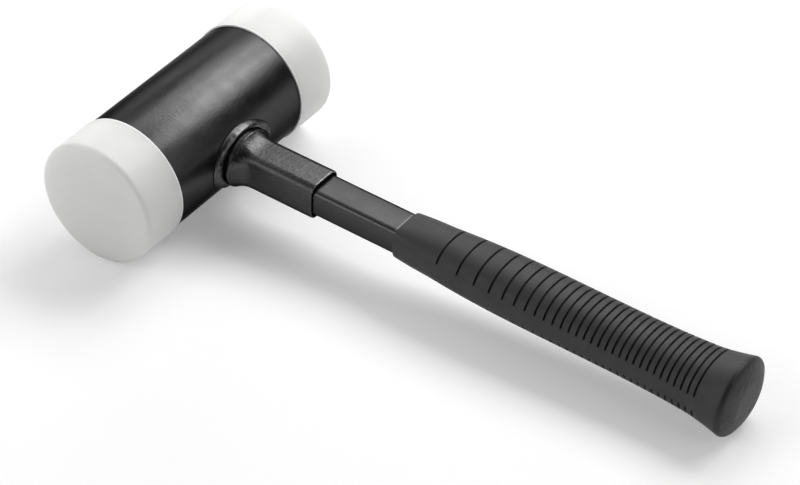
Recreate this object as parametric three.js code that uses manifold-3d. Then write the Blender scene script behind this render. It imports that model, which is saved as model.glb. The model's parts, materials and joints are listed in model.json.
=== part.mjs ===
// Dead blow mallet: a steel tube holding loose shot, a nylon insert in each end, and a welded steel handle
// with a ribbed rubber grip. Sizes are millimetres.
// In the tool's own frame the head lies along Y, the handle runs along X to its butt, and Z is up.
// The finished tool is laid down as it rests: on both inserts and on the edge of the butt.
import * as THREE from "three";
import { mergeVertices } from "three/addons/utils/BufferGeometryUtils.js";
import Module from "manifold-3d";

const wasm = await Module();
wasm.setup();

// Driving dimensions of the head
const insertDiameter = 60;
const insertReach = 25.4; // from the end of the tube to the middle of the striking face
const rimRound = 1; // edge of an insert beside the tube
const shoulderRound = 2.6; // edge between an insert's wall and its face
const faceCrown = 1.6; // how far the face swells at its middle
const faceFlatRadius = 6; // flat middle of the crowned face
const spigotLength = 16;
const spigotChamfer = 1.5;
const tubeDiameter = 58.5;
const tubeLength = 86;
const tubeWall = 4;
const tubeChamfer = 0.6;
const partitionThickness = 3;
const partitionChamfer = 0.5;

// Driving dimensions of the shot
const shotAcross = 5; // balls that fit side by side in the bore
const shotRows = 3; // from the floor of the bore up
const shotLayers = 3; // along the head
const shotBite = 0.03; // share of a ball's diameter that joins it to the next

// Driving dimensions of the neck
const sleeveMouth = 74; // from the head's axis to the mouth of the sleeve
const sleeveWidth = 19.4;
const sleeveHeight = 18.4;
const sleeveCorner = 4.6;
const sleeveLip = 0.5; // rounding of the mouth's outer edge
const mouthLand = 0.25; // flat ring of the mouth inside its lip
const mouthDepth = 2; // from that ring down to the bore
const flareWidth = 31.4; // oval rim of the flare above the weld, along Y
const flareHeight = 26; // the same along Z
const flareEdge = 0.4; // chamfer of the rim
const flareLift = 2.4; // from the crown of the tube to the underside of the rim
const flareLength = 10; // from the rim to where the sleeve has its full section
const flarePower = 3; // how quickly the flare falls away
const footInset = 1.2; // from the rim in to the sleeve's foot
const weldWidth = 41.6; // across the head, along Y
const weldHeight = 28.6; // over the curve of the tube, along Z
const crestWidth = 31; // crest of the bead, along Y
const crestHeight = 26.2; // the same along Z
const weldGroove = 0.95; // open groove between the crest and the rim
const weldSag = 1.2; // how much wider that groove is over the curve of the tube

// Driving dimensions of the handle and the grip
const handleWidth = 17;
const handleHeight = 13.6;
const handleCorner = 2.9;
const handleWall = 2;
const gripStart = 118; // from the head's axis to the grip's nose
const gripEnd = 289.3; // from the head's axis to the end of the butt
const endWall = 16; // rubber between the end of the handle and the butt's end
const noseWidth = 21.4;
const noseHeight = 16.6;
const noseRound = 0.5;
const palmAt = 81; // from the nose to the widest part of the palm
const palmWidth = 30.3;
const palmHeight = 23.3;
const heelFlare = 19.8; // length of the flare before the butt's edge
const heelWidth = 31.8;
const heelHeight = 26.2;
const buttWidth = 37.9;
const buttHeight = 35.5;
const buttEdge = 2.4; // rounding of the butt's edge
const buttSweep = 60; // degrees of that rounding before the domed end carries on from it
const buttDome = 3.1; // how far the butt's end swells inside its edge
const buttFlat = 0.4; // share of the butt's end that is flat
const palmEase = 2.6; // powers of the curves from nose to palm, from palm to heel and from heel to butt
const heelEase = 4.1;
const buttEase = 1.6;
const grooveCount = 30; // on the top, and as many below
const firstGroove = 24.1; // from the nose to the first groove
const widePitch = 10.85;
const closePitch = 3.33;
const pitchShrink = 0.775; // from one step to the next, on what is above the close pitch
const grooveWidth = 0.9;
const grooveDepth = 0.9;
const sideBand = 8.8; // height of the plain band along each side

// Clearance between pieces that are fitted together, and fineness of the round forms
const fitGap = 0.3;
const headFacets = 48;
const crownSteps = 3; // across a striking face
const neckCornerFacets = 12;
const flareSteps = 6;
const flareCrowding = 1.3; // power that crowds those steps towards the rim
const handleCornerFacets = 6;
const gripArcFacets = 12; // along a groove
const heelSteps = 4; // from the last groove to the butt's edge
const domeSteps = 3; // from the butt's edge in to its flat middle

// How square the grip's section is: 2 is an ellipse
const nosePower = 3.2;
const palmPower = 2.3;
const buttPower = 2;
const noseHaste = 2; // how much sooner the section softens than it swells behind the nose

// Sizes that follow
const insertRadius = insertDiameter / 2;
const tubeRadius = tubeDiameter / 2;
const boreRadius = tubeRadius - tubeWall;
const spigotRadius = boreRadius - fitGap;
const tubeEnd = tubeLength / 2;
const spigotEnd = tubeEnd - spigotLength;
const partitionOuter = spigotEnd - fitGap;
const partitionInner = partitionOuter - partitionThickness;
const shotDiameter = (2 * (boreRadius - fitGap)) / shotAcross;
const saddleRadius = tubeRadius + fitGap;
const flareBack = tubeRadius + flareLift;
const buttEdgeStart = gripEnd - buttDome - buttEdge * Math.sin(THREE.MathUtils.degToRad(buttSweep));
const handleEnd = gripEnd - endWall;
const restTilt = Math.asin((insertRadius - buttHeight / 2) / buttEdgeStart);

const paint = { color: 0x1b1b1c, roughness: 0.45, metalness: 0.3 };
const finishes = {
  headPaint: new THREE.MeshStandardMaterial(paint),
  neckPaint: new THREE.MeshStandardMaterial({ ...paint, roughness: 0.55 }),
  nylon: new THREE.MeshStandardMaterial({ color: 0xe8e8e4, roughness: 0.5, metalness: 0 }),
  steel: new THREE.MeshStandardMaterial({ color: 0x8d8f92, roughness: 0.4, metalness: 1 }),
  rubber: new THREE.MeshStandardMaterial({ color: 0x2b2b2c, roughness: 0.85, metalness: 0 }),
};

function named(name, geometry, material) {
  const mesh = new THREE.Mesh(geometry, material);
  mesh.name = name;
  return mesh;
}

const mix = (from, to, share) => from + (to - from) * share;

// A body turned about the head's axis, from points (radius, place along the axis)
function revolve(profile) {
  const points = profile.map(([radius, along]) => new THREE.Vector2(radius, along));
  return new THREE.LatheGeometry(points, headFacets);
}

// Points of an arc between two angles in degrees
function arc(centreX, centreY, radius, from, to, steps) {
  const points = [];
  for (let i = 0; i <= steps; i += 1) {
    const angle = THREE.MathUtils.degToRad(mix(from, to, i / steps));
    points.push([centreX + radius * Math.cos(angle), centreY + radius * Math.sin(angle)]);
  }
  return points;
}

// A skin over rings of equal count. Each ring runs round X from +Y towards +Z.
// With end points the skin is closed by a fan at each end, and without them its last ring joins the first.
function skin(rings, endPoints) {
  const count = rings[0].length;
  const vertices = rings.flat();
  const triangles = [];
  const spans = endPoints ? rings.length - 1 : rings.length;
  for (let i = 0; i < spans; i += 1) {
    const here = i * count;
    const there = ((i + 1) % rings.length) * count;
    for (let j = 0; j < count; j += 1) {
      const next = (j + 1) % count;
      triangles.push(here + j, here + next, there + j);
      triangles.push(here + next, there + next, there + j);
    }
  }
  if (endPoints) {
    const lastRing = vertices.length - count;
    const firstEnd = vertices.length;
    vertices.push(...endPoints);
    for (let j = 0; j < count; j += 1) {
      const next = (j + 1) % count;
      triangles.push(firstEnd, next, j);
      triangles.push(firstEnd + 1, lastRing + j, lastRing + next);
    }
  }
  const geometry = new THREE.BufferGeometry();
  geometry.setAttribute("position", new THREE.Float32BufferAttribute(vertices.flat(), 3));
  geometry.setIndex(triangles);
  geometry.computeVertexNormals();
  return geometry;
}

// Outline of a rounded rectangle in Y and Z, with as many points to each corner
function roundedOutline(halfWidth, halfHeight, corner, perCorner) {
  const outline = [];
  for (let quarter = 0; quarter < 4; quarter += 1) {
    const sideY = quarter === 0 || quarter === 3 ? 1 : -1;
    const sideZ = quarter < 2 ? 1 : -1;
    for (let k = 0; k < perCorner; k += 1) {
      const angle = (quarter + (k + 0.5) / perCorner) * (Math.PI / 2);
      const y = sideY * (halfWidth - corner) + corner * Math.cos(angle);
      const z = sideZ * (halfHeight - corner) + corner * Math.sin(angle);
      outline.push([y, z]);
    }
  }
  return outline;
}

// Oval outline in Y and Z, whose points pair with those of a rounded rectangle
function ovalOutline(halfWidth, halfHeight, perCorner) {
  return roundedOutline(1, 1, 1, perCorner).map(([y, z]) => [halfWidth * y, halfHeight * z]);
}

// Outline between two others, point by point
function blend(from, to, share) {
  return from.map(([y, z], j) => [mix(y, to[j][0], share), mix(z, to[j][1], share)]);
}

const ringAt = (x, outline) => outline.map(([y, z]) => [x, y, z]);

// Height of the saddle that the neck stands on: the tube's curve, clear of it by the fit gap
const saddle = (z) => Math.sqrt(saddleRadius ** 2 - z ** 2);
const saddleRing = (outline, lift = 0) => outline.map(([y, z]) => [saddle(z) + lift, y, z]);

// The handle's outline, grown or shrunk all round
function handleOutline(grow, perCorner) {
  return roundedOutline(handleWidth / 2 + grow, handleHeight / 2 + grow, handleCorner + grow, perCorner);
}

function headTube() {
  const bevel = tubeChamfer;
  const end = [
    [tubeRadius, tubeEnd - bevel],
    [tubeRadius - bevel, tubeEnd],
    [boreRadius + bevel, tubeEnd],
    [boreRadius, tubeEnd - bevel],
  ];
  const otherEnd = end.map(([radius, along]) => [radius, -along]).reverse();
  return named("head_tube", revolve([...end, ...otherEnd, end[0]]), finishes.headPaint);
}

// Pieces at the two ends are alike: the front one is turned about the handle's axis
function atEnd(mesh, side) {
  mesh.rotation.x = side < 0 ? Math.PI : 0;
  return mesh;
}

function partition(name, side) {
  const edge = partitionChamfer;
  const radius = boreRadius - fitGap;
  const profile = [
    [0, partitionInner],
    [radius - edge, partitionInner],
    [radius, partitionInner + edge],
    [radius, partitionOuter - edge],
    [radius - edge, partitionOuter],
    [0, partitionOuter],
  ];
  return atEnd(named(name, revolve(profile), finishes.steel), side);
}

function insert(name, side) {
  const collarBack = tubeEnd + fitGap;
  const face = tubeEnd + insertReach;
  const shoulderTop = face - faceCrown;
  const crownRadius = insertRadius - shoulderRound;
  const crown = [];
  for (let i = crownSteps - 1; i >= 0; i -= 1) {
    const share = i / crownSteps;
    crown.push([mix(faceFlatRadius, crownRadius, share), face - faceCrown * share ** 2]);
  }
  const profile = [
    [0, spigotEnd],
    [spigotRadius - spigotChamfer, spigotEnd],
    [spigotRadius, spigotEnd + spigotChamfer],
    [spigotRadius, collarBack],
    ...arc(insertRadius - rimRound, collarBack + rimRound, rimRound, -90, 0, 2),
    ...arc(crownRadius, shoulderTop - shoulderRound, shoulderRound, 0, 90, 4),
    ...crown,
    [0, face],
  ];
  return atEnd(named(name, revolve(profile), finishes.nylon), side);
}

function toSolid(geometry) {
  const bare = geometry.clone();
  bare.deleteAttribute("normal");
  bare.deleteAttribute("uv");
  const merged = mergeVertices(bare);
  const vertProperties = merged.attributes.position.array;
  const triVerts = Uint32Array.from(merged.index.array);
  return new wasm.Manifold(new wasm.Mesh({ numProp: 3, vertProperties, triVerts }));
}

function fromSolid(solid) {
  const mesh = solid.getMesh();
  const geometry = new THREE.BufferGeometry();
  geometry.setAttribute("position", new THREE.BufferAttribute(mesh.vertProperties, 3));
  geometry.setIndex(new THREE.BufferAttribute(mesh.triVerts, 1));
  geometry.computeVertexNormals();
  return geometry;
}

// The charge: balls in rows on the floor of the bore, each row set over the gaps of the one below
function steelShot() {
  const pitch = shotDiameter * (1 - shotBite);
  const rowRise = pitch * Math.sin(Math.PI / 3);
  const reach = boreRadius - fitGap - shotDiameter / 2;
  const ball = new THREE.SphereGeometry(shotDiameter / 2, 6, 4);
  const balls = [];
  for (let layer = 0; layer < shotLayers; layer += 1) {
    const along = (layer - (shotLayers - 1) / 2) * pitch;
    for (let row = 0; row < shotRows; row += 1) {
      const z = row * rowRise - reach;
      const offset = row % 2 ? 0.5 : 0;
      for (let i = -shotAcross; i <= shotAcross; i += 1) {
        const x = (i + offset) * pitch;
        if (Math.hypot(x, z) <= reach) {
          balls.push(toSolid(ball.clone().translate(x, along, z)));
        }
      }
    }
  }
  const charge = balls.reduce((pile, next) => pile.add(next));
  return named("steel_shot", fromSolid(charge), finishes.steel);
}

// The sleeve's oval foot, grown all round
function footOutline(grow) {
  return ovalOutline(flareWidth / 2 - footInset + grow, flareHeight / 2 - footInset + grow, neckCornerFacets);
}

// Neck sleeve: an oval foot under a flared rim, narrowing to a rounded rectangle round the handle
function neckSleeve() {
  const perCorner = neckCornerFacets;
  const full = (trim) =>
    roundedOutline(sleeveWidth / 2 - trim, sleeveHeight / 2 - trim, sleeveCorner - trim, perCorner);
  const rim = (trim) => ovalOutline(flareWidth / 2 - trim, flareHeight / 2 - trim, perCorner);
  const foot = footOutline(0);
  const rings = [saddleRing(foot), ringAt(flareBack, foot), ringAt(flareBack, rim(flareEdge))];
  const rimTop = flareBack + flareEdge;
  for (let i = 0; i <= flareSteps; i += 1) {
    const along = (i / flareSteps) ** flareCrowding;
    rings.push(ringAt(rimTop + flareLength * along, blend(full(0), rim(0), (1 - along) ** flarePower)));
  }
  for (const [inward, forward] of arc(sleeveLip, -sleeveLip, sleeveLip, 180, 90, 3)) {
    rings.push(ringAt(sleeveMouth + forward, full(inward)));
  }
  rings.push(ringAt(sleeveMouth, full(sleeveLip + mouthLand)));
  rings.push(ringAt(sleeveMouth - mouthDepth, handleOutline(fitGap, perCorner)));
  rings.push(saddleRing(handleOutline(fitGap, perCorner), fitGap));
  return named("neck_sleeve", skin(rings), finishes.neckPaint);
}

// Weld bead: a rounded fillet from the tube's curve up to its crest, then down to the foot of the sleeve
function neckWeld() {
  const crest = ovalOutline(crestWidth / 2, crestHeight / 2, neckCornerFacets);
  const toe = ovalOutline(weldWidth / 2, weldHeight / 2, neckCornerFacets);
  const lift = crest.map(([, z]) => {
    const sag = weldSag * (z / (crestHeight / 2)) ** 2;
    return flareBack - weldGroove - sag - saddle(z);
  });
  const rings = [];
  for (const [height, share] of arc(0, 0, 1, 90, 0, 5)) {
    rings.push(saddleRing(blend(crest, toe, share)).map(([x, y, z], j) => [x + lift[j] * height, y, z]));
  }
  rings.push(saddleRing(footOutline(fitGap)));
  return named("neck_weld", skin(rings), finishes.neckPaint);
}

function handleTube() {
  const outside = handleOutline(0, handleCornerFacets);
  const inside = handleOutline(-handleWall, handleCornerFacets);
  const rings = [
    ringAt(saddleRadius, outside),
    ringAt(handleEnd, outside),
    ringAt(handleEnd, inside),
    ringAt(saddleRadius, inside),
  ];
  return named("handle_tube", skin(rings), finishes.headPaint);
}

// Half width, half height and squareness of the grip at a place along it
function gripSection(x) {
  const fromNose = x - gripStart;
  const heelAt = buttEdgeStart - heelFlare - gripStart;
  if (fromNose <= palmAt) {
    const swell = 1 - (1 - fromNose / palmAt) ** palmEase;
    return [
      mix(noseWidth, palmWidth, swell) / 2,
      mix(noseHeight, palmHeight, swell) / 2,
      mix(nosePower, palmPower, Math.min(1, swell * noseHaste)),
    ];
  }
  if (fromNose <= heelAt) {
    const swell = ((fromNose - palmAt) / (heelAt - palmAt)) ** heelEase;
    return [mix(palmWidth, heelWidth, swell) / 2, mix(palmHeight, heelHeight, swell) / 2, palmPower];
  }
  const swell = ((fromNose - heelAt) / heelFlare) ** buttEase;
  return [
    mix(heelWidth, buttWidth, swell) / 2,
    mix(heelHeight, buttHeight, swell) / 2,
    mix(palmPower, buttPower, swell),
  ];
}

// A ring of the grip, with its surface drawn in by the groove's depth between the side bands
function gripRing(x, groove, trim = 0) {
  const [halfWidth, halfHeight, power] = gripSection(x);
  const bandAngle = Math.asin(sideBand / 2 / halfHeight);
  const arcStep = (Math.PI - 2 * bandAngle) / gripArcFacets;
  const ring = [];
  for (const side of [0, Math.PI]) {
    for (let k = -1; k <= gripArcFacets; k += 1) {
      const onBand = k < 0;
      const angle = side + (onBand ? 0 : bandAngle + k * arcStep);
      const inGroove = k > 0 && k < gripArcFacets;
      const cut = trim + (inGroove ? groove : 0);
      const [c, s] = [Math.cos(angle), Math.sin(angle)];
      const stretch = (Math.abs(c) ** power + Math.abs(s) ** power) ** (-1 / power);
      ring.push([x, (halfWidth - cut) * stretch * c, (halfHeight - cut) * stretch * s]);
    }
  }
  return ring;
}

// Places of the grooves along the grip: wide apart behind the nose, close together towards the butt
function groovePlaces() {
  const places = [gripStart + firstGroove];
  for (let k = 0; k < grooveCount - 1; k += 1) {
    places.push(places[k] + closePitch + (widePitch - closePitch) * pitchShrink ** k);
  }
  return places;
}

// Grip: a blind bore for the handle inside, and outside an oval palm with grooves and a round flared butt
function grip() {
  const bore = handleOutline(fitGap, (2 * gripArcFacets + 4) / 4);
  const boreEnd = handleEnd + fitGap;
  const rings = [ringAt(boreEnd, bore), ringAt(gripStart, bore)];
  for (const [inward, back] of arc(noseRound, noseRound, noseRound, 270, 180, 2)) {
    rings.push(gripRing(gripStart, 0, inward).map(([, y, z]) => [gripStart + back, y, z]));
  }
  rings.push(gripRing(gripStart + firstGroove / 2, 0));
  for (const place of groovePlaces()) {
    rings.push(gripRing(place - grooveWidth / 2, 0));
    rings.push(gripRing(place, grooveDepth));
    rings.push(gripRing(place + grooveWidth / 2, 0));
  }
  const lastGroove = groovePlaces().at(-1);
  for (let i = 1; i < heelSteps; i += 1) {
    rings.push(gripRing(mix(lastGroove, buttEdgeStart, i / heelSteps), 0));
  }
  for (const [inward, forward] of arc(buttEdge, 0, buttEdge, 180, 180 - buttSweep, 4)) {
    rings.push(gripRing(buttEdgeStart, 0, inward).map(([, y, z]) => [buttEdgeStart + forward, y, z]));
  }
  const edgeRing = rings.at(-1);
  for (let i = 1; i <= domeSteps; i += 1) {
    const share = mix(1, buttFlat, i / domeSteps);
    const drop = buttDome * (1 - i / domeSteps) ** 2;
    rings.push(edgeRing.map(([, y, z]) => [gripEnd - drop, y * share, z * share]));
  }
  return named("grip", skin(rings, [[boreEnd, 0, 0], [gripEnd, 0, 0]]), finishes.rubber);
}

const tool = new THREE.Group();
tool.add(headTube());
tool.add(partition("front_partition", -1));
tool.add(partition("rear_partition", 1));
tool.add(insert("front_insert", -1));
tool.add(insert("rear_insert", 1));
tool.add(steelShot());
tool.add(neckSleeve());
tool.add(neckWeld());
tool.add(handleTube());
tool.add(grip());

// Lay the tool down, with the origin under the middle of its box
tool.rotation.y = restTilt;
const box = new THREE.Box3().setFromObject(tool, true);
tool.position.set(-(box.min.x + box.max.x) / 2, -(box.min.y + box.max.y) / 2, -box.min.z);

export default tool;
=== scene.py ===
# Dead blow mallet lying on a white table. Sizes are millimetres in the tool's own frame: the head's middle is
# the origin, Y runs along the head, X along the handle to the butt, and Z is up.
import json
import math

import bpy
from mathutils import Matrix, Vector, noise


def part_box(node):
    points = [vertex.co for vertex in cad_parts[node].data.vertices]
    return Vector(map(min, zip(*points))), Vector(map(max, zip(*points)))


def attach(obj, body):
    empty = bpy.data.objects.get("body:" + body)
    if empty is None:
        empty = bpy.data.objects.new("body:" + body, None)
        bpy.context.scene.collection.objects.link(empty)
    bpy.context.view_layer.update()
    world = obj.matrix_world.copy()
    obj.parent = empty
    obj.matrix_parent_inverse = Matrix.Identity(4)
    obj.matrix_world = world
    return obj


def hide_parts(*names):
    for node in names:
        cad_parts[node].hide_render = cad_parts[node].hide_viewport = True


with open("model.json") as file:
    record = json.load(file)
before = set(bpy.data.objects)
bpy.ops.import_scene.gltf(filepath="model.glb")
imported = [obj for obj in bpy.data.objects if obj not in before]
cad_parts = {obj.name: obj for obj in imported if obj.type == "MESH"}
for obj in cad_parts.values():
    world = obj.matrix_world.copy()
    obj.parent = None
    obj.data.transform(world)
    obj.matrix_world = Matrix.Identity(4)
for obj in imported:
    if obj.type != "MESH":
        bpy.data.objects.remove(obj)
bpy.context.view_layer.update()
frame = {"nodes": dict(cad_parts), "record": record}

# The tool leans from the level of the head down to the edge of its butt, and the butt's mount gives the angle
buttAxis = next(m["axis"] for m in frame["record"]["mounts"] if m["name"] == "butt_end")
restTilt = math.atan2(-buttAxis[2], buttAxis[0])
headLow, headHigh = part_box("head_tube")
headCentre = (headLow + headHigh) / 2
millimetre = 0.001
toolToRow = Matrix.Translation(headCentre) @ Matrix.Rotation(restTilt, 4, "Y") @ Matrix.Scale(millimetre, 4)
rowToTool = toolToRow.inverted()


# Lowest and highest corner of a CAD node in the tool's frame
def toolBox(node):
    points = [rowToTool @ v.co for v in frame["nodes"][node].data.vertices]
    low = Vector(min(p[i] for p in points) for i in range(3))
    high = Vector(max(p[i] for p in points) for i in range(3))
    return low, high


tubeEnd = toolBox("head_tube")[1].y
tubeRadius = toolBox("head_tube")[1].x
fitGap = 0.3  # clearance between pieces that are fitted together
print("frame loaded: tilt", round(math.degrees(restTilt), 2), "tube radius", round(tubeRadius, 2))


# Small helpers for shapes

def mix(a, b, share):
    return a + (b - a) * share


# Points of an arc, between two angles in degrees
def arc(centre, radius, start, end, steps):
    points = []
    for i in range(steps + 1):
        angle = math.radians(mix(start, end, i / steps))
        points.append((centre[0] + radius * math.cos(angle), centre[1] + radius * math.sin(angle)))
    return points


# Joins rings of equal count with quads: closed by a fan at each end, or looped back to the first ring
def skinRings(rings, ends=None):
    count = len(rings[0])
    verts = [p for ring in rings for p in ring]
    faces = []
    spans = len(rings) - 1 if ends else len(rings)
    for i in range(spans):
        here, there = i * count, (i + 1) % len(rings) * count
        for j in range(count):
            k = (j + 1) % count
            faces.append((here + j, here + k, there + k, there + j))
    if ends:
        first, lastRing = len(verts), len(verts) - count
        verts.extend(ends)
        for j in range(count):
            k = (j + 1) % count
            faces.append((first, k, j))
            faces.append((first + 1, lastRing + j, lastRing + k))
    return verts, faces


# Turns a profile of (radius, along) about the head's axis, from pole to pole or round a ring
def turn(profile, segments, ring=False):
    rows = []
    for radius, along in profile if ring else profile[1:-1]:
        row = []
        for j in range(segments):
            angle = -2 * math.pi * j / segments
            row.append((radius * math.cos(angle), along, radius * math.sin(angle)))
        rows.append(row)
    ends = None if ring else [(0, profile[0][1], 0), (0, profile[-1][1], 0)]
    return skinRings(rows, ends)


# Outline of a rounded rectangle in Y and Z
def roundedOutline(halfWidth, halfHeight, corner, perCorner):
    outline = []
    for quarter in range(4):
        sideY = 1 if quarter in (0, 3) else -1
        sideZ = 1 if quarter < 2 else -1
        for k in range(perCorner):
            angle = (quarter + (k + 0.5) / perCorner) * math.pi / 2
            y = sideY * (halfWidth - corner) + corner * math.cos(angle)
            z = sideZ * (halfHeight - corner) + corner * math.sin(angle)
            outline.append((y, z))
    return outline


# An oval whose points pair with those of a rounded rectangle
def ovalOutline(halfWidth, halfHeight, perCorner):
    return [(halfWidth * y, halfHeight * z) for y, z in roundedOutline(1, 1, 1, perCorner)]


def blendOutlines(start, end, share):
    return [(mix(a[0], b[0], share), mix(a[1], b[1], share)) for a, b in zip(start, end)]


def ringAt(x, outline):
    return [(x, y, z) for y, z in outline]


def meshFrom(name, verts, faces):
    mesh = bpy.data.meshes.new(name)
    mesh.from_pydata(verts, [], faces)
    mesh.update()
    return mesh


# Puts a finished mesh in its place on the tool, as a piece of one body that stands for CAD nodes
def addPiece(mesh, material, body, slot, *nodes, sharpAngle=40):
    mesh.transform(toolToRow)
    mesh.shade_smooth()
    mesh.set_sharp_from_angle(angle=math.radians(sharpAngle))
    piece = bpy.data.objects.new(mesh.name, mesh)
    bpy.context.scene.collection.objects.link(piece)
    piece.data.materials.clear()
    piece.data.materials.append(material)
    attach(piece, body)
    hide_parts(*nodes)
    print("piece", piece.name, len(mesh.polygons), "faces")


# Small helpers for node trees

def feed(tree, socket, value):
    if isinstance(value, bpy.types.NodeSocket):
        tree.links.new(value, socket)
    else:
        socket.default_value = value


def addNode(tree, kind, inputs=None, **settings):
    node = tree.nodes.new(kind)
    for name, value in settings.items():
        setattr(node, name, value)
    for name, value in (inputs or {}).items():
        feed(tree, node.inputs[name], value)
    return node


def calc(tree, operation, *values):
    node = tree.nodes.new("ShaderNodeMath")
    node.operation = operation
    for socket, value in zip(node.inputs, values):
        feed(tree, socket, value)
    return node.outputs[0]


def rgba(colour):
    return tuple(colour) + (1,)


def grey(level):
    return rgba((level,) * 3)


# Colour between two others. The mix node keeps its colour sockets behind those for numbers and vectors.
def mixColour(tree, share, start, end):
    node = addNode(tree, "ShaderNodeMix", data_type="RGBA")
    feed(tree, node.inputs[0], share)
    feed(tree, node.inputs[6], start)
    feed(tree, node.inputs[7], end)
    return node.outputs[2]


# A material with its shader, and the object's own coordinates to drive patterns
def startMaterial(name):
    material = bpy.data.materials.new(name)
    material.use_nodes = True
    tree = material.node_tree
    shader = tree.nodes["Principled BSDF"]
    place = addNode(tree, "ShaderNodeTexCoord").outputs["Object"]
    return material, tree, shader, place


noiseRough = 0.55
noiseLow, noiseHigh = 0.3, 0.7  # most of the noise lies between these


# Noise between two values, at a grain size in millimetres
def grain(tree, place, size, low, high, detail=3):
    texture = addNode(
        tree,
        "ShaderNodeTexNoise",
        {"Vector": place, "Scale": 1 / (size * millimetre), "Detail": detail, "Roughness": noiseRough},
    )
    spread = addNode(
        tree,
        "ShaderNodeMapRange",
        {
            "Value": texture.outputs["Fac"],
            "From Min": noiseLow,
            "From Max": noiseHigh,
            "To Min": low,
            "To Max": high,
        },
    )
    return spread.outputs["Result"]


# Smooth step from 0 to 1 between two values
def ramp(tree, value, start, end):
    limits = {"Value": value, "From Min": start, "From Max": end}
    return addNode(tree, "ShaderNodeMapRange", limits, interpolation_type="SMOOTHSTEP").outputs["Result"]


# Bump of a height field, with its depth in millimetres
def bump(tree, height, depth, under=None):
    node = addNode(tree, "ShaderNodeBump", {"Height": height, "Distance": depth * millimetre})
    if under is not None:
        feed(tree, node.inputs["Normal"], under)
    return node.outputs["Normal"]


# Roughness in patches, from its lowest to its highest value
def patchyRoughness(tree, shader, place, look):
    feed(tree, shader.inputs["Roughness"], grain(tree, place, look["patchSize"], *look["roughness"]))


# Materials

# Distance in millimetres along an axis of the tool's frame, for marks at one place on it
def alongTool(tree, place, axis):
    way = toolToRow.to_3x3().normalized() @ Vector(axis)
    dot = addNode(tree, "ShaderNodeVectorMath", {0: place, 1: way}, operation="DOT_PRODUCT").outputs["Value"]
    return calc(tree, "DIVIDE", calc(tree, "SUBTRACT", dot, headCentre.dot(way)), millimetre)


# Satin black paint is almost all gloss. Shine is what it mirrors face on, edgeShine holds back its outer
# edges, and a band
# across the top is brighter: partly worn paint, partly a painted highlight kept to the top where light
# catches the edge.
def satinBlack(tree, shader, place, look):
    shader.inputs["Metallic"].default_value = 1.0
    shader.inputs["Specular Tint"].default_value = grey(look["edgeShine"])
    paint = grey(look["shine"])
    if "wearAndHighlight" not in look:
        shader.inputs["Base Color"].default_value = paint
        return
    wearAndHighlight = look["wearAndHighlight"]
    # Painted highlight on worn paint: the band is brighter only on the top, where light catches the edge
    line = calc(tree, "COMPARE", alongTool(tree, place, (1, 0, 0)), wearAndHighlight["at"], wearAndHighlight["width"] / 2)
    onTop = calc(tree, "GREATER_THAN", alongTool(tree, place, (0, 0, 1)), wearAndHighlight["lowest"])
    broken = grain(tree, place, wearAndHighlight["patchSize"], wearAndHighlight["least"], 1.0)
    wornAndHighlightBand = calc(tree, "MULTIPLY", broken, calc(tree, "MULTIPLY", line, onTop))
    feed(tree, shader.inputs["Base Color"], mixColour(tree, wornAndHighlightBand, paint, grey(wearAndHighlight["shine"])))


tubePaintLook = {
    "shine": 0.062,
    "edgeShine": 0.3,
    "roughness": (0.28, 0.36),
    "patchSize": 6.0,
    "grainSize": 1.3,
    "grainDepth": 0.02,
}
gripRubAndHighlight = {  # where the grip's nose rubs the handle: worn paint, with a painted highlight that keeps it to the top
    "at": toolBox("grip")[0].x - 1.1,
    "width": 0.5,
    "lowest": 6.2,
    "shine": 0.15,
    "patchSize": 2.0,
    "least": 0.55,
}
handlePaintLook = {
    "shine": 0.063,
    "edgeShine": 0.25,
    "roughness": (0.26, 0.32),
    "patchSize": 6.0,
    "grainSize": 3.0,
    "grainDepth": 0.003,
    "wearAndHighlight": gripRubAndHighlight,
}


def smoothPaint(name, look):
    material, tree, shader, place = startMaterial(name)
    satinBlack(tree, shader, place, look)
    patchyRoughness(tree, shader, place, look)
    fine = grain(tree, place, look["grainSize"], 0, 1, detail=2)
    feed(tree, shader.inputs["Normal"], bump(tree, fine, look["grainDepth"]))
    return material


mouthLipWearAndHighlight = {  # the lip of the sleeve's mouth: worn paint, with a painted highlight that keeps it to the top
    "at": toolBox("neck_sleeve")[1].x - 0.25,
    "width": 0.6,
    "lowest": 6.5,
    "shine": 0.2,
    "patchSize": 2.0,
    "least": 0.55,
}
sleevePaintLook = {
    "shine": 0.072,
    "edgeShine": 0.25,
    "roughness": (0.3, 0.41),
    "patchSize": 4.0,
    "peelSize": 1.5,
    "peelDepth": 0.05,
    "grainSize": 1.1,
    "grainDepth": 0.05,
    "wearAndHighlight": mouthLipWearAndHighlight,
}
weldPaintLook = {
    "shine": 0.108,
    "edgeShine": 0.25,
    "roughness": (0.28, 0.39),
    "patchSize": 4.0,
    "peelSize": 2.2,
    "peelDepth": 0.025,
    "grainSize": 0.9,
    "grainDepth": 0.015,
}


# Thicker paint over forged and welded metal, with an uneven skin
def unevenPaint(name, look):
    material, tree, shader, place = startMaterial(name)
    satinBlack(tree, shader, place, look)
    patchyRoughness(tree, shader, place, look)
    peel = bump(tree, grain(tree, place, look["peelSize"], 0, 1, detail=2), look["peelDepth"])
    fine = grain(tree, place, look["grainSize"], 0, 1, detail=2)
    feed(tree, shader.inputs["Normal"], bump(tree, fine, look["grainDepth"], under=peel))
    return material


nylonLook = {
    "colour": (0.85, 0.85, 0.84),
    "rimHighlightColour": (1.0, 1.0, 0.99),  # painted highlight: the thin back edge of the collar is whiter, where light catches it
    "rimHighlightWidth": 0.8,
    "shade": 0.975,
    "shadeSize": 14.0,
    "roughness": (0.38, 0.48),
    "patchSize": 5.0,
    "glow": 0.7,
    "glowDepth": 9.0,
    "grainSize": 1.2,
    "grainDepth": 0.01,
}


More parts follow.
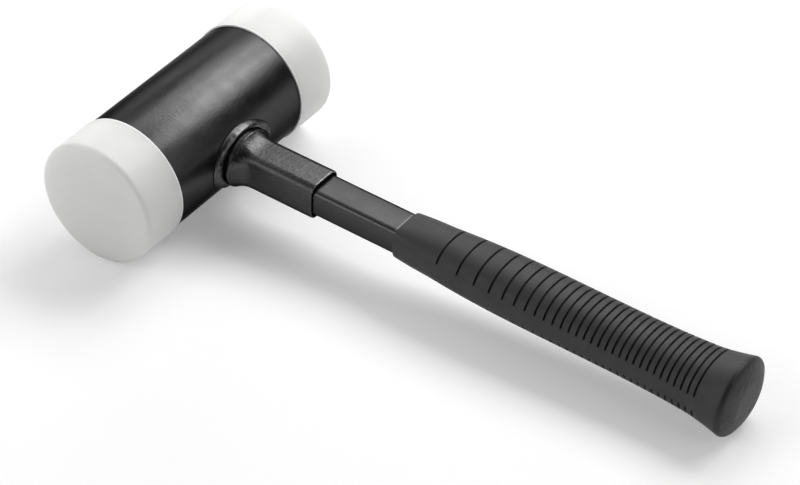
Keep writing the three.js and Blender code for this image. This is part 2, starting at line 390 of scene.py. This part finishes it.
def nylon():
    look = nylonLook
    material, tree, shader, place = startMaterial("whiteNylon")
    clouds = grain(tree, place, look["shadeSize"], 0, 1)
    body = mixColour(tree, clouds, rgba(look["colour"]), rgba(c * look["shade"] for c in look["colour"]))
    fromMiddle = calc(tree, "ABSOLUTE", alongTool(tree, place, (0, 1, 0)))
    fromTube = calc(tree, "SUBTRACT", fromMiddle, tubeEnd)
    # Painted highlight: a whiter band at the collar's back edge, with no subsurface there, stands for light
    # caught by that edge
    paintedRimBand = calc(tree, "COMPARE", fromTube, look["rimHighlightWidth"] / 2, look["rimHighlightWidth"] / 2)
    feed(tree, shader.inputs["Base Color"], mixColour(tree, paintedRimBand, body, rgba(look["rimHighlightColour"])))
    glow = calc(tree, "MULTIPLY", calc(tree, "SUBTRACT", 1.0, paintedRimBand), look["glow"])
    feed(tree, shader.inputs["Subsurface Weight"], glow)
    shader.inputs["Subsurface Radius"].default_value = (1, 1, 1)
    shader.inputs["Subsurface Scale"].default_value = look["glowDepth"] * millimetre
    patchyRoughness(tree, shader, place, look)
    fine = grain(tree, place, look["grainSize"], 0, 1)
    feed(tree, shader.inputs["Normal"], bump(tree, fine, look["grainDepth"]))
    return material


rubberLook = {
    "colour": (0.021, 0.021, 0.022),
    "pale": (0.028, 0.028, 0.029),
    "paleSize": 9.0,
    "specular": 0.45,
    "roughness": (0.49, 0.59),
    "patchSize": 7.0,
    "grainSize": 0.35,
    "grainDepth": 0.02,
    "scuffSize": 2.6,  # scuffs, in patches, on the end of the butt only
    "scuffDepth": 0.34,
    "scuffReach": 3.4,
    "scuffPatches": 8.0,
    "paintedShadeStart": (2.2, 3.6),  # painted shade: the rounded rim of the butt is darker, between two soft edges
    "paintedShadeStop": (5.0, 6.4),
    "rimPaintedShade": 0.45,
}


def rubber():
    look = rubberLook
    material, tree, shader, place = startMaterial("gripRubber")
    clouds = grain(tree, place, look["paleSize"], 0, 1)
    body = mixColour(tree, clouds, rgba(look["colour"]), rgba(look["pale"]))
    fromEnd = calc(tree, "SUBTRACT", toolBox("grip")[1].x, alongTool(tree, place, (1, 0, 0)))
    # Painted shade on the rounded rim of the butt: darker all round, between two soft edges
    rising, falling = ramp(tree, fromEnd, *look["paintedShadeStart"]), ramp(tree, fromEnd, *look["paintedShadeStop"])
    paintedRimBand = calc(tree, "SUBTRACT", rising, falling)
    rim = rgba(c * look["rimPaintedShade"] for c in look["colour"])
    feed(tree, shader.inputs["Base Color"], mixColour(tree, paintedRimBand, body, rim))
    shader.inputs["Specular IOR Level"].default_value = look["specular"]
    patchyRoughness(tree, shader, place, look)
    fine = bump(tree, grain(tree, place, look["grainSize"], 0, 1, detail=2), look["grainDepth"])
    onEnd = calc(tree, "LESS_THAN", fromEnd, look["scuffReach"])
    patches = calc(tree, "MULTIPLY", grain(tree, place, look["scuffPatches"], 0, 1), onEnd)
    scuffs = calc(tree, "MULTIPLY", grain(tree, place, look["scuffSize"], 0, 1), patches)
    feed(tree, shader.inputs["Normal"], bump(tree, scuffs, look["scuffDepth"], under=fine))
    return material


steelLook = {"colour": 0.45, "roughness": (0.27, 0.45), "patchSize": 1.2}


def bareSteel():
    look = steelLook
    material, tree, shader, place = startMaterial("bareSteel")
    shader.inputs["Base Color"].default_value = grey(look["colour"])
    shader.inputs["Metallic"].default_value = 1.0
    patchyRoughness(tree, shader, place, look)
    return material


tubeFinish = smoothPaint("tubePaint", tubePaintLook)
handleFinish = smoothPaint("handlePaint", handlePaintLook)
sleeveFinish = unevenPaint("sleevePaint", sleevePaintLook)
weldFinish = unevenPaint("weldPaint", weldPaintLook)
nylonFinish = nylon()
rubberFinish = rubber()
steelFinish = bareSteel()
print("materials made")


# Head

tubeShape = {"wall": 4.0, "edge": 0.35, "edgeSteps": 4, "segments": 160}


def headTube():
    shape = tubeShape
    bore, edge, steps = tubeRadius - shape["wall"], shape["edge"], shape["edgeSteps"]
    end = [
        *arc((tubeRadius - edge, tubeEnd - edge), edge, 0, 90, steps),
        *arc((bore + edge, tubeEnd - edge), edge, 90, 180, steps),
    ]
    other = [(radius, -along) for radius, along in reversed(end)]
    verts, faces = turn(end + other, shape["segments"], ring=True)
    addPiece(meshFrom("headTube", verts, faces), tubeFinish, "tool", "head_paint", "head_tube")


insertShape = {
    "seatGap": 0.05,  # between the collar and the end of the tube
    "chamferDepth": 0.12,
    "chamferLength": 0.5,
    "shoulder": 2.6,
    "shoulderSteps": 10,
    "faceRadius": 235,
    "faceSteps": 14,
    "spigotChamfer": 1.5,
    "segments": 160,
}


# Profile of an insert: spigot, collar, rounded shoulder and a crowned face that runs smoothly into it
def insertProfile(node):
    shape = insertShape
    low, high = toolBox(node)
    rowLow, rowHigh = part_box(node)
    radius = (rowHigh.x - rowLow.x) / 2 / millimetre
    face, inner = high.y, low.y
    back = tubeEnd + shape["seatGap"]
    spigot = tubeRadius - tubeShape["wall"] - fitGap
    shoulder, crown = shape["shoulder"], shape["faceRadius"]
    middle = face - crown
    shoulderAlong = middle + math.sqrt((crown - shoulder) ** 2 - (radius - shoulder) ** 2)
    lean = math.degrees(math.atan2(shoulderAlong - middle, radius - shoulder))
    faceArc = arc((0, middle), crown, lean, 90, shape["faceSteps"])
    faceArc[-1] = (0, face)
    return [
        (0, inner),
        (spigot - shape["spigotChamfer"], inner),
        (spigot, inner + shape["spigotChamfer"]),
        (spigot, back),
        (radius - shape["chamferDepth"], back),
        (radius, back + shape["chamferLength"]),
        *arc((radius - shoulder, shoulderAlong), shoulder, 0, lean, shape["shoulderSteps"]),
        *faceArc[1:],
    ]


# Both inserts are the rear one's form, and the front one is turned round
def insert(name, node, front):
    verts, faces = turn(insertProfile("rear_insert"), insertShape["segments"])
    mesh = meshFrom(name, verts, faces)
    if front:
        mesh.transform(Matrix.Rotation(math.pi, 4, "X"))
    addPiece(mesh, nylonFinish, node, "nylon", node, sharpAngle=12)


partitionShape = {"edge": 0.5, "segments": 96}


def partition(name, node):
    edge = partitionShape["edge"]
    low, high = toolBox(node)
    radius = high.x
    profile = [
        (0, low.y),
        (radius - edge, low.y),
        (radius, low.y + edge),
        (radius, high.y - edge),
        (radius - edge, high.y),
        (0, high.y),
    ]
    verts, faces = turn(profile, partitionShape["segments"])
    addPiece(meshFrom(name, verts, faces), steelFinish, "tool", "steel", node, sharpAngle=30)


headTube()
insert("frontInsert", "front_insert", front=True)
insert("rearInsert", "rear_insert", front=False)
partition("frontPartition", "front_partition")
partition("rearPartition", "rear_partition")


# Shot: balls on the places of a stacked charge, made by instancing one ball

shotShape = {"across": 5, "rows": 3, "layers": 3, "bite": 0.03, "slack": 0.01, "fineness": 3}


def shotTree(ballRadius):
    tree = bpy.data.node_groups.new("shotBalls", "GeometryNodeTree")
    tree.interface.new_socket("Geometry", in_out="INPUT", socket_type="NodeSocketGeometry")
    size = tree.interface.new_socket("Ball Radius", in_out="INPUT", socket_type="NodeSocketFloat")
    size.default_value = ballRadius
    tree.interface.new_socket("Geometry", in_out="OUTPUT", socket_type="NodeSocketGeometry")
    given = addNode(tree, "NodeGroupInput")
    ball = addNode(
        tree,
        "GeometryNodeMeshIcoSphere",
        {"Radius": given.outputs["Ball Radius"], "Subdivisions": shotShape["fineness"]},
    )
    spread = addNode(
        tree,
        "GeometryNodeInstanceOnPoints",
        {"Points": given.outputs["Geometry"], "Instance": ball.outputs["Mesh"]},
    )
    whole = addNode(tree, "GeometryNodeRealizeInstances", {"Geometry": spread.outputs["Instances"]})
    painted = addNode(
        tree,
        "GeometryNodeSetMaterial",
        {"Geometry": whole.outputs["Geometry"], "Material": steelFinish},
    )
    addNode(tree, "NodeGroupOutput", {"Geometry": painted.outputs["Geometry"]})
    return tree


# Runs a node tree on a mesh and gives back the result as a plain mesh
def growMesh(name, mesh, tree, sizes):
    source = bpy.data.objects.new(name, mesh)
    bpy.context.scene.collection.objects.link(source)
    modifier = source.modifiers.new(tree.name, "NODES")
    modifier.node_group = tree
    for item in tree.interface.items_tree:
        if item.in_out == "INPUT" and item.name in sizes:
            modifier[item.identifier] = sizes[item.name]
    evaluated = source.evaluated_get(bpy.context.evaluated_depsgraph_get())
    grown = bpy.data.meshes.new_from_object(evaluated)
    source.modifiers.remove(modifier)
    bpy.data.objects.remove(source)
    bpy.data.meshes.remove(mesh)
    grown.name = name
    return grown


def shotCharge():
    shape = shotShape
    low, high = toolBox("steel_shot")
    depth = 1 + (shape["layers"] - 1) * (1 - shape["bite"])  # of the layers, in balls
    reach = -low.z - (high.y - low.y) / depth / 2
    ballRadius = reach / (shape["across"] - 1)
    pitch = 2 * ballRadius * (1 - shape["bite"])
    places = []
    for layer in range(shape["layers"]):
        along = (layer - (shape["layers"] - 1) / 2) * pitch
        for row in range(shape["rows"]):
            z = row * pitch * math.sin(math.pi / 3) - reach
            for i in range(-shape["across"], shape["across"] + 1):
                x = (i + row % 2 / 2) * pitch
                if math.hypot(x, z) <= reach + shape["slack"]:
                    places.append((x, along, z))
    tree = shotTree(ballRadius)
    mesh = growMesh("shotCharge", meshFrom("shotPlaces", places, []), tree, {"Ball Radius": ballRadius})
    addPiece(mesh, steelFinish, "shot", "steel", "steel_shot")


shotCharge()


# Neck: sleeve and weld

neckShape = {
    "width": 19.4,
    "height": 18.4,
    "corner": 4.6,
    "lip": 0.5,
    "lipSteps": 6,
    "mouthLand": 0.25,
    "mouthDepth": 2.0,
    "flareWidth": 31.4,
    "flareHeight": 26.0,
    "flareEdge": 0.8,
    "flareSweep": (270, 145),  # degrees of the rim's rounding, before the flare carries on from it
    "flareLift": 2.4,
    "flareLength": 10.0,
    "flarePower": 3.0,
    "flareSteps": 26,
    "flareCrowding": 1.3,  # gathers its rings at the rim
    "footInset": 1.2,
    "perCorner": 24,
}
handleShape = {"width": 17.0, "height": 13.6, "corner": 2.9, "wall": 2.0, "perCorner": 12}
saddleRadius = tubeRadius + fitGap
flareBack = tubeRadius + neckShape["flareLift"]


# Height of the tube's curve under the neck, clear of it by the fit gap
def saddle(z):
    return math.sqrt(saddleRadius**2 - z**2)


def saddleRing(outline, lift=0.0):
    return [(saddle(z) + lift, y, z) for y, z in outline]


def handleOutline(grow, perCorner):
    shape = handleShape
    sizes = [shape["width"] / 2 + grow, shape["height"] / 2 + grow, shape["corner"] + grow]
    return roundedOutline(*sizes, perCorner)


def fullSection(trim):
    shape = neckShape
    sizes = [shape["width"] / 2 - trim, shape["height"] / 2 - trim, shape["corner"] - trim]
    return roundedOutline(*sizes, shape["perCorner"])


def rimOval(trim):
    shape = neckShape
    return ovalOutline(shape["flareWidth"] / 2 - trim, shape["flareHeight"] / 2 - trim, shape["perCorner"])


# An oval foot under a flared rim, narrowing to a rounded rectangle with an open mouth round the handle
def neckSleeve():
    shape = neckShape
    mouth = toolBox("neck_sleeve")[1].x
    foot, edge, lip = rimOval(shape["footInset"]), shape["flareEdge"], shape["lip"]
    rings = [saddleRing(foot), ringAt(flareBack, foot)]
    for inward, up in arc((edge, edge), edge, *shape["flareSweep"], shape["lipSteps"]):
        rings.append(ringAt(flareBack + up, rimOval(inward)))
    rimTop, rimTrim = flareBack + up, inward
    for i in range(1, shape["flareSteps"] + 1):
        along = (i / shape["flareSteps"]) ** shape["flareCrowding"]
        flare = (1 - along) ** shape["flarePower"]
        section = blendOutlines(fullSection(0), rimOval(rimTrim), flare)
        rings.append(ringAt(rimTop + shape["flareLength"] * along, section))
    for inward, forward in arc((lip, -lip), lip, 180, 90, shape["lipSteps"]):
        rings.append(ringAt(mouth + forward, fullSection(inward)))
    bore = handleOutline(fitGap, shape["perCorner"])
    rings.append(ringAt(mouth, fullSection(lip + shape["mouthLand"])))
    rings.append(ringAt(mouth - shape["mouthDepth"], bore))
    rings.append(saddleRing(bore, fitGap))
    verts, faces = skinRings(rings)
    addPiece(meshFrom("neckSleeve", verts, faces), sleeveFinish, "tool", "neck_paint", "neck_sleeve")


weldShape = {
    "width": 41.6,
    "height": 28.6,
    "crestWidth": 31.0,
    "crestHeight": 26.2,
    "groove": 0.95,  # open groove between the crest and the sleeve's rim
    "sag": 1.2,  # how much wider that groove is over the curve of the tube
    "ripple": 0.72,  # fades out at the toe and at the crest
    "rippleSize": 2.6,
    "steps": 12,
}


# The bead rises from the tube's curve to its crest, with a slight ripple along it, and drops to the foot
# of the sleeve
def neckWeld():
    shape = weldShape
    perCorner = neckShape["perCorner"] * 2
    crest = ovalOutline(shape["crestWidth"] / 2, shape["crestHeight"] / 2, perCorner)
    toe = ovalOutline(shape["width"] / 2, shape["height"] / 2, perCorner)
    rings = []
    for height, share in arc((0, 0), 1, 90, 0, shape["steps"]):
        ring = []
        for (y, z), (_, crestZ) in zip(blendOutlines(crest, toe, share), crest):
            sag = shape["sag"] * (crestZ / (shape["crestHeight"] / 2)) ** 2
            lift = (flareBack - shape["groove"] - sag - saddle(crestZ)) * height
            seed = Vector((y, z, 0)) / shape["rippleSize"]
            lift += shape["ripple"] * noise.noise(seed) * share * height
            ring.append((saddle(z) + lift, y, z))
        rings.append(ring)
    inset = neckShape["footInset"] - fitGap
    inner = ovalOutline(neckShape["flareWidth"] / 2 - inset, neckShape["flareHeight"] / 2 - inset, perCorner)
    rings.append(saddleRing(inner))
    verts, faces = skinRings(rings)
    addPiece(meshFrom("neckWeld", verts, faces), weldFinish, "tool", "neck_paint", "neck_weld")


def handleTube():
    shape = handleShape
    low, high = toolBox("handle_tube")
    outside = handleOutline(0, shape["perCorner"])
    inside = handleOutline(-shape["wall"], shape["perCorner"])
    rings = [ringAt(low.x, outside), ringAt(high.x, outside), ringAt(high.x, inside), ringAt(low.x, inside)]
    verts, faces = skinRings(rings)
    addPiece(meshFrom("handleTube", verts, faces), handleFinish, "tool", "head_paint", "handle_tube")


neckSleeve()
neckWeld()
handleTube()


# Grip: an oval palm between a small nose and a round butt, with grooves cut by a node tree

gripShape = {
    "nose": (10.7, 8.3, 3.2),  # half width, half height, squareness
    "palm": (15.15, 11.65, 2.3),
    "heel": (15.9, 13.1, 2.3),
    "butt": (18.95, 17.75, 2.0),
    "palmAt": 81.0,
    "heelFlare": 19.8,
    "palmEase": 2.6,
    "heelEase": 4.1,
    "buttEase": 1.6,
    "noseRound": 0.5,
    "noseSteps": 6,
    "buttEdge": 2.4,
    "buttSweep": 60,  # degrees of the edge's rounding before the domed end carries on from it
    "buttDome": 3.1,
    "buttFlat": 0.4,  # share of the end that is flat
    "buttSteps": 8,
    "buttInset": 0.02,  # the dome is rounder than the frame's, and stays inside its box
    "endWall": 16.0,
    "around": 112,
    "frontRows": (2.2, 9),  # step and count of the rings before the first groove
    "landRows": 1.6,  # step of the rings between grooves
    "heelRows": 12,
}
grooveShape = {
    "First Groove": 24.1,
    "Wide Pitch": 10.85,
    "Close Pitch": 3.33,
    "Pitch Shrink": 0.775,
    "Groove Width": 1.1,
    "Groove Depth": 1.25,
    "Upper End": 4.4,
    "Lower End Front": 4.6,
    "Lower End Heel": 2.8,
    "Groove Count": 30,
}
grooveRows = (-1.15, -1, -0.85, -0.7, -0.5, -0.3, 0, 0.3, 0.5, 0.7, 0.85, 1, 1.15)  # in half widths
grooveFloor = 0.4  # share of the width that is cut to the full depth
noseAt = toolBox("grip")[0].x
buttEnd = toolBox("grip")[1].x - gripShape["buttInset"]
buttRim = gripShape["buttEdge"] * math.sin(math.radians(gripShape["buttSweep"]))
buttEdgeAt = buttEnd - gripShape["buttDome"] - buttRim


def gripSection(x):
    shape = gripShape
    fromNose = x - noseAt
    heelAt = buttEdgeAt - shape["heelFlare"] - noseAt
    if fromNose <= shape["palmAt"]:
        swell = 1 - (1 - fromNose / shape["palmAt"]) ** shape["palmEase"]
        softening = min(1, 2 * swell)  # the nose's squareness goes twice as fast as its size
        start, end, ease = shape["nose"], shape["palm"], (swell, swell, softening)
    elif fromNose <= heelAt:
        swell = ((fromNose - shape["palmAt"]) / (heelAt - shape["palmAt"])) ** shape["heelEase"]
        start, end, ease = shape["palm"], shape["heel"], (swell,) * 3
    else:
        swell = ((fromNose - heelAt) / shape["heelFlare"]) ** shape["buttEase"]
        start, end, ease = shape["heel"], shape["butt"], (swell,) * 3
    return [mix(a, b, share) for a, b, share in zip(start, end, ease)]


def gripRing(x, trim=0.0, place=None):
    halfWidth, halfHeight, power = gripSection(x)
    ring = []
    for j in range(gripShape["around"]):
        angle = 2 * math.pi * (j + 0.5) / gripShape["around"]
        c, s = math.cos(angle), math.sin(angle)
        stretch = (abs(c) ** power + abs(s) ** power) ** (-1 / power)
        y, z = (halfWidth - trim) * stretch * c, (halfHeight - trim) * stretch * s
        ring.append((x if place is None else place, y, z))
    return ring


def groovePlaces():
    shape = grooveShape
    places, pitch = [noseAt + shape["First Groove"]], shape["Wide Pitch"]
    for _ in range(shape["Groove Count"] - 1):
        places.append(places[-1] + pitch)
        pitch = shape["Close Pitch"] + (pitch - shape["Close Pitch"]) * shape["Pitch Shrink"]
    return places


# The plain grip, with its rings gathered where the grooves will be
def plainGrip():
    shape = gripShape
    boreEnd = buttEnd - shape["endWall"] + fitGap
    bore = handleOutline(fitGap, shape["around"] // 4)
    rings = [ringAt(boreEnd, bore), ringAt(noseAt, bore)]
    rounding = shape["noseRound"]
    for inward, back in arc((rounding, rounding), rounding, 270, 180, shape["noseSteps"]):
        rings.append(gripRing(noseAt, inward, noseAt + back))
    half = grooveShape["Groove Width"] / 2
    places = groovePlaces()
    frontStep, frontCount = shape["frontRows"]
    stations = [noseAt + rounding + frontStep * (i + 1) for i in range(frontCount)]
    for i, groove in enumerate(places):
        stations.extend(groove + half * row for row in grooveRows)
        if i + 1 < len(places):
            land = places[i + 1] - groove
            rows = max(1, round(land / shape["landRows"]))
            stations.extend(groove + land * (k + 1) / (rows + 1) for k in range(rows))
    last = places[-1] + half * grooveRows[-1]
    stations.extend(mix(last, buttEdgeAt, i / shape["heelRows"]) for i in range(1, shape["heelRows"]))
    rings.extend(gripRing(x) for x in stations)
    edge, steps = shape["buttEdge"], shape["buttSteps"]
    for inward, forward in arc((edge, 0), edge, 180, 180 - shape["buttSweep"], steps):
        rings.append(gripRing(buttEdgeAt, inward, buttEdgeAt + forward))
    rim = rings[-1]
    for i in range(1, steps + 1):
        share = mix(1, shape["buttFlat"], i / steps)
        drop = shape["buttDome"] * (1 - i / steps) ** 2
        rings.append([(buttEnd - drop, y * share, z * share) for _, y, z in rim])
    verts, faces = skinRings(rings, [(boreEnd, 0, 0), (buttEnd, 0, 0)])
    return meshFrom("plainGrip", verts, faces)


# Cuts one groove after another: each has a round bottom, and round ends at the plain bands along the sides
def grooveTree():
    tree = bpy.data.node_groups.new("gripGrooves", "GeometryNodeTree")
    tree.interface.new_socket("Geometry", in_out="INPUT", socket_type="NodeSocketGeometry")
    for name, value in grooveShape.items():
        kind = "NodeSocketInt" if isinstance(value, int) else "NodeSocketFloat"
        tree.interface.new_socket(name, in_out="INPUT", socket_type=kind)
    for name in ("Nose", "Last Groove"):
        tree.interface.new_socket(name, in_out="INPUT", socket_type="NodeSocketFloat")
    tree.interface.new_socket("Geometry", in_out="OUTPUT", socket_type="NodeSocketGeometry")
    given = addNode(tree, "NodeGroupInput").outputs
    halfWidth = calc(tree, "MULTIPLY", given["Groove Width"], 0.5)

    loopStart = addNode(tree, "GeometryNodeRepeatInput")
    loopEnd = addNode(tree, "GeometryNodeRepeatOutput")
    loopStart.pair_with_output(loopEnd)
    loopEnd.repeat_items.new("FLOAT", "Place")
    loopEnd.repeat_items.new("FLOAT", "Pitch")
    feed(tree, loopStart.inputs["Iterations"], given["Groove Count"])
    feed(tree, loopStart.inputs["Geometry"], given["Geometry"])
    feed(tree, loopStart.inputs["Place"], calc(tree, "ADD", given["Nose"], given["First Groove"]))
    feed(tree, loopStart.inputs["Pitch"], given["Wide Pitch"])
    place, pitch = loopStart.outputs["Place"], loopStart.outputs["Pitch"]

    point = addNode(tree, "GeometryNodeInputPosition").outputs["Position"]
    spot = addNode(tree, "ShaderNodeSeparateXYZ", {"Vector": point}).outputs
    along = calc(tree, "SUBTRACT", spot["X"], place)
    lowerEnd = addNode(
        tree,
        "ShaderNodeMapRange",
        {
            "Value": place,
            "From Min": calc(tree, "ADD", given["Nose"], given["First Groove"]),
            "From Max": given["Last Groove"],
            "To Min": given["Lower End Front"],
            "To Max": given["Lower End Heel"],
        },
    ).outputs["Result"]
    above = calc(tree, "SUBTRACT", calc(tree, "ADD", given["Upper End"], halfWidth), spot["Z"])
    below = calc(tree, "ADD", calc(tree, "ADD", lowerEnd, halfWidth), spot["Z"])
    short = calc(tree, "MAXIMUM", calc(tree, "MINIMUM", above, below), 0.0)
    away = calc(tree, "SQRT", calc(tree, "MULTIPLY_ADD", along, along, calc(tree, "MULTIPLY", short, short)))
    cut = addNode(
        tree,
        "ShaderNodeMapRange",
        {
            "Value": away,
            "From Min": halfWidth,
            "From Max": calc(tree, "MULTIPLY", halfWidth, grooveFloor),
            "To Min": 0.0,
            "To Max": given["Groove Depth"],
        },
        interpolation_type="SMOOTHSTEP",
    ).outputs["Result"]
    across = addNode(tree, "ShaderNodeCombineXYZ", {"Y": spot["Y"], "Z": spot["Z"]}).outputs["Vector"]
    outward = addNode(tree, "ShaderNodeVectorMath", {0: across}, operation="NORMALIZE").outputs["Vector"]
    inward = addNode(tree, "ShaderNodeVectorMath", {0: outward}, operation="SCALE")
    feed(tree, inward.inputs["Scale"], calc(tree, "MULTIPLY", cut, -1.0))
    moved = addNode(
        tree,
        "GeometryNodeSetPosition",
        {"Geometry": loopStart.outputs["Geometry"], "Offset": inward.outputs["Vector"]},
    )
    feed(tree, loopEnd.inputs["Geometry"], moved.outputs["Geometry"])
    feed(tree, loopEnd.inputs["Place"], calc(tree, "ADD", place, pitch))
    wide = calc(tree, "SUBTRACT", pitch, given["Close Pitch"])
    nextPitch = calc(tree, "MULTIPLY_ADD", wide, given["Pitch Shrink"], given["Close Pitch"])
    feed(tree, loopEnd.inputs["Pitch"], nextPitch)

    whole = addNode(tree, "GeometryNodeRealizeInstances", {"Geometry": loopEnd.outputs["Geometry"]})
    painted = addNode(
        tree,
        "GeometryNodeSetMaterial",
        {"Geometry": whole.outputs["Geometry"], "Material": rubberFinish},
    )
    addNode(tree, "NodeGroupOutput", {"Geometry": painted.outputs["Geometry"]})
    return tree


def grip():
    sizes = {**grooveShape, "Nose": noseAt, "Last Groove": groovePlaces()[-1]}
    mesh = growMesh("rubberGrip", plainGrip(), grooveTree(), sizes)
    addPiece(mesh, rubberFinish, "tool", "rubber", "grip", sharpAngle=60)


grip()


# Table, light and camera

# The table glows a little for what looks straight at it or mirrors it, so it reads white and keeps a soft
# shadow
floorLook = {"half": 4.0, "colour": 0.8, "glow": 0.27}


def floor():
    look = floorLook
    half = look["half"]
    corners = [(-half, -half, 0), (half, -half, 0), (half, half, 0), (-half, half, 0)]
    mesh = meshFrom("table", corners, [(0, 1, 2, 3)])
    material, tree, shader, _ = startMaterial("table")
    shader.inputs["Base Color"].default_value = grey(look["colour"])
    shader.inputs["Roughness"].default_value = 1.0
    shader.inputs["Specular IOR Level"].default_value = 0.0
    shader.inputs["Emission Color"].default_value = grey(1)
    ray = addNode(tree, "ShaderNodeLightPath").outputs
    mirrored = calc(tree, "MAXIMUM", ray["Is Glossy Ray"], ray["Is Transmission Ray"])
    seen = calc(tree, "MAXIMUM", ray["Is Camera Ray"], mirrored)
    feed(tree, shader.inputs["Emission Strength"], calc(tree, "MULTIPLY", seen, look["glow"]))
    mesh.materials.append(material)
    table = bpy.data.objects.new("table", mesh)
    bpy.context.scene.collection.objects.link(table)


# Softboxes round the tool: compass angle from +X, height angle, side length in metres and power
lampRig = {
    "keyRight": {"round": 65, "up": 47, "size": 0.9, "power": 14.0},
    "keyMiddle": {"round": 90, "up": 47, "size": 0.9, "power": 10.5},
    "keyLeft": {"round": 115, "up": 47, "size": 0.9, "power": 8.8},
    "backLeft": {"round": 138, "up": 14, "size": 0.9, "power": 6.8},
    "sideLeft": {"round": 168, "up": 52, "size": 1.4, "power": 6.0},
    "fillLeft": {"round": 225, "up": 27, "size": 1.4, "power": 14.0},
    "fillFront": {"round": 270, "up": 22, "size": 1.4, "power": 4.2},
    "fillRight": {"round": 10, "up": 28, "size": 1.4, "power": 7.0},
}
lampDistance = 2.0
skyLevel = 0.0


def lights():
    for name, rig in lampRig.items():
        lamp = bpy.data.lights.new(name, "AREA")
        lamp.size = rig["size"]
        lamp.energy = rig["power"]
        holder = bpy.data.objects.new(name, lamp)
        compass, lift = math.radians(rig["round"]), math.radians(-rig["up"])
        turned = Matrix.Rotation(compass, 3, "Z") @ Matrix.Rotation(lift, 3, "Y")
        holder.location = turned @ Vector((lampDistance, 0, 0))
        holder.rotation_euler = (-holder.location).to_track_quat("-Z", "Y").to_euler()
        bpy.context.scene.collection.objects.link(holder)
    world = bpy.data.worlds.new("studio")
    world.use_nodes = True
    sky = world.node_tree.nodes["Background"]
    sky.inputs["Color"].default_value = grey(1)
    sky.inputs["Strength"].default_value = skyLevel
    bpy.context.scene.world = world


# The photo's camera, in the tool's own frame
cameraSetup = {
    "eye": (703.6, -889.4, 905.1),
    "forward": (-0.4219, 0.6295, -0.6525),
    "right": (0.8137, 0.5804, 0.0338),
    "lens": 146.07,
    "sensor": 36,
    "shift": (0.0185, 0.0150),
    "clip": (0.05, 50),
}


def camera():
    setup = cameraSetup
    data = bpy.data.cameras.new("photoCamera")
    data.lens = setup["lens"]
    data.sensor_width = setup["sensor"]
    data.shift_x, data.shift_y = setup["shift"]
    data.clip_start, data.clip_end = setup["clip"]
    holder = bpy.data.objects.new("photoCamera", data)
    back, right = -Vector(setup["forward"]).normalized(), Vector(setup["right"]).normalized()
    turned = Matrix((right, back.cross(right), back)).transposed()
    holder.location = toolToRow @ Vector(setup["eye"])
    holder.rotation_euler = (Matrix.Rotation(restTilt, 3, "Y") @ turned).to_euler()
    bpy.context.scene.collection.objects.link(holder)
    bpy.context.scene.camera = holder


floor()
lights()
camera()
bpy.context.scene.view_settings.view_transform = "Standard"
